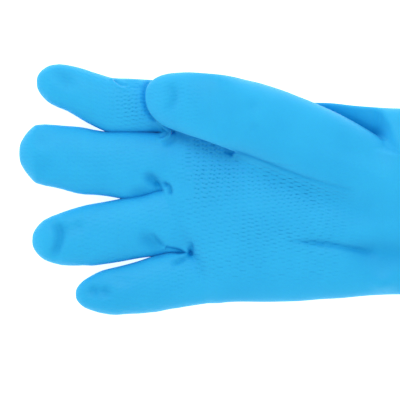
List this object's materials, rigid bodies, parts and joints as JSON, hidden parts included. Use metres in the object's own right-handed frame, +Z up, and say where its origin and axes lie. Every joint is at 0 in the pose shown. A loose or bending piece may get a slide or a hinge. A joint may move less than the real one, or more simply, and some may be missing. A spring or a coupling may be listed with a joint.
{
  "type": "household rubber glove",
  "caption": "Right-hand dipped rubber household glove with a flock lining, textured palm and fingers and a flared cuff, lying palm up.",
  "frame": {"origin": "on the flat of the hand's back, under the middle of the palm", "axes": "+X from the fingertips to the cuff mouth, +Y to the thumb's side, +Z up out of the palm"},
  "size_m": [0.3116, 0.1314, 0.0431],
  "materials": {
    "blue_rubber": "satin",
    "rolled_edge": "satin",
    "flock_lining": "fuzzy"
  },
  "bodies": {
    "hand": {"hand_shell": "blue_rubber", "hand_lining": "flock_lining", "wrist_flex": "blue_rubber", "thumb_web_flex": "blue_rubber", "index_base_flex": "blue_rubber", "middle_base_flex": "blue_rubber", "ring_base_flex": "blue_rubber", "little_base_flex": "blue_rubber"},
    "cuff": {"cuff_shell": "blue_rubber", "cuff_lining": "flock_lining", "cuff_bead": "rolled_edge"},
    "thumb_base": {"thumb_base_shell": "blue_rubber", "thumb_base_lining": "flock_lining", "thumb_knuckle_flex": "blue_rubber"},
    "thumb_tip": {"thumb_tip_shell": "blue_rubber", "thumb_tip_lining": "flock_lining"},
    "index_proximal": {"index_proximal_shell": "blue_rubber", "index_proximal_lining": "flock_lining", "index_knuckle_flex": "blue_rubber"},
    "index_middle": {"index_middle_shell": "blue_rubber", "index_middle_lining": "flock_lining", "index_tip_joint_flex": "blue_rubber"},
    "index_tip": {"index_tip_shell": "blue_rubber", "index_tip_lining": "flock_lining"},
    "middle_proximal": {"middle_proximal_shell": "blue_rubber", "middle_proximal_lining": "flock_lining", "middle_knuckle_flex": "blue_rubber"},
    "middle_middle": {"middle_middle_shell": "blue_rubber", "middle_middle_lining": "flock_lining", "middle_tip_joint_flex": "blue_rubber"},
    "middle_tip": {"middle_tip_shell": "blue_rubber", "middle_tip_lining": "flock_lining"},
    "ring_proximal": {"ring_proximal_shell": "blue_rubber", "ring_proximal_lining": "flock_lining", "ring_knuckle_flex": "blue_rubber"},
    "ring_middle": {"ring_middle_shell": "blue_rubber", "ring_middle_lining": "flock_lining", "ring_tip_joint_flex": "blue_rubber"},
    "ring_tip": {"ring_tip_shell": "blue_rubber", "ring_tip_lining": "flock_lining"},
    "little_proximal": {"little_proximal_shell": "blue_rubber", "little_proximal_lining": "flock_lining", "little_knuckle_flex": "blue_rubber"},
    "little_middle": {"little_middle_shell": "blue_rubber", "little_middle_lining": "flock_lining", "little_tip_joint_flex": "blue_rubber"},
    "little_tip": {"little_tip_shell": "blue_rubber", "little_tip_lining": "flock_lining"}
  },
  "joints": [
    {"name": "wrist_bend", "type": "hinge", "parent": "hand", "child": "cuff", "pos_m": [0.074, 0, 0.0118], "axis": [0, 1, 0], "range_deg": [-55, 55], "deforming": ["wrist_flex"]},
    {"name": "thumb_spread", "type": "hinge", "parent": "hand", "child": "thumb_base", "pos_m": [0.018, 0.024, 0.03], "axis": [0, 0, -1], "range_deg": [-8, 35], "deforming": ["thumb_web_flex"]},
    {"name": "thumb_knuckle_bend", "type": "hinge", "parent": "thumb_base", "child": "thumb_tip", "pos_m": [-0.0385, 0.0474, 0.0314], "axis": [0, 0, 1], "range_deg": [-10, 40], "deforming": ["thumb_knuckle_flex"]},
    {"name": "index_base_bend", "type": "hinge", "parent": "hand", "child": "index_proximal", "pos_m": [-0.064, 0.0476, 0.0073], "axis": [0, 1, 0], "range_deg": [-10, 60], "deforming": ["index_base_flex"]},
    {"name": "index_knuckle_bend", "type": "hinge", "parent": "index_proximal", "child": "index_middle", "pos_m": [-0.08, 0.0486, 0.0073], "axis": [0.1219, 0.9925, 0], "range_deg": [0, 80], "deforming": ["index_knuckle_flex"]},
    {"name": "index_tip_bend", "type": "hinge", "parent": "index_middle", "child": "index_tip", "pos_m": [-0.0985, 0.0554, 0.0073], "axis": [0.1219, 0.9925, 0], "range_deg": [0, 52], "deforming": ["index_tip_joint_flex"]},
    {"name": "middle_base_bend", "type": "hinge", "parent": "hand", "child": "middle_proximal", "pos_m": [-0.065, 0.0184, 0.0073], "axis": [0.0471, 0.9989, 0], "range_deg": [-10, 60], "deforming": ["middle_base_flex"]},
    {"name": "middle_knuckle_bend", "type": "hinge", "parent": "middle_proximal", "child": "middle_middle", "pos_m": [-0.0865, 0.0189, 0.0073], "axis": [0.0471, 0.9989, 0], "range_deg": [0, 80], "deforming": ["middle_knuckle_flex"]},
    {"name": "middle_tip_bend", "type": "hinge", "parent": "middle_middle", "child": "middle_tip", "pos_m": [-0.106, 0.0218, 0.0073], "axis": [0.0471, 0.9989, 0], "range_deg": [0, 52], "deforming": ["middle_tip_joint_flex"]},
    {"name": "ring_base_bend", "type": "hinge", "parent": "hand", "child": "ring_proximal", "pos_m": [-0.066, -0.0135, 0.0073], "axis": [-0.1184, 0.993, 0], "range_deg": [-10, 60], "deforming": ["ring_base_flex"]},
    {"name": "ring_knuckle_bend", "type": "hinge", "parent": "ring_proximal", "child": "ring_middle", "pos_m": [-0.085, -0.0166, 0.0073], "axis": [-0.1184, 0.993, 0], "range_deg": [0, 80], "deforming": ["ring_knuckle_flex"]},
    {"name": "ring_tip_bend", "type": "hinge", "parent": "ring_middle", "child": "ring_tip", "pos_m": [-0.102, -0.0183, 0.0073], "axis": [-0.1184, 0.993, 0], "range_deg": [0, 52], "deforming": ["ring_tip_joint_flex"]},
    {"name": "little_base_bend", "type": "hinge", "parent": "hand", "child": "little_proximal", "pos_m": [-0.051, -0.0411, 0.0073], "axis": [-0.1323, 0.9912, 0], "range_deg": [-10, 60], "deforming": ["little_base_flex"]},
    {"name": "little_knuckle_bend", "type": "hinge", "parent": "little_proximal", "child": "little_middle", "pos_m": [-0.0675, -0.0435, 0.0073], "axis": [-0.1323, 0.9912, 0], "range_deg": [0, 80], "deforming": ["little_knuckle_flex"]},
    {"name": "little_tip_bend", "type": "hinge", "parent": "little_middle", "child": "little_tip", "pos_m": [-0.082, -0.0456, 0.0073], "axis": [-0.1323, 0.9912, 0], "range_deg": [0, 52], "deforming": ["little_tip_joint_flex"]}
  ],
  "couplings": [
    {"joint": "index_tip_bend", "follows": "index_knuckle_bend", "ratio": 0.65},
    {"joint": "middle_tip_bend", "follows": "middle_knuckle_bend", "ratio": 0.65},
    {"joint": "ring_tip_bend", "follows": "ring_knuckle_bend", "ratio": 0.65},
    {"joint": "little_tip_bend", "follows": "little_knuckle_bend", "ratio": 0.65}
  ]
}
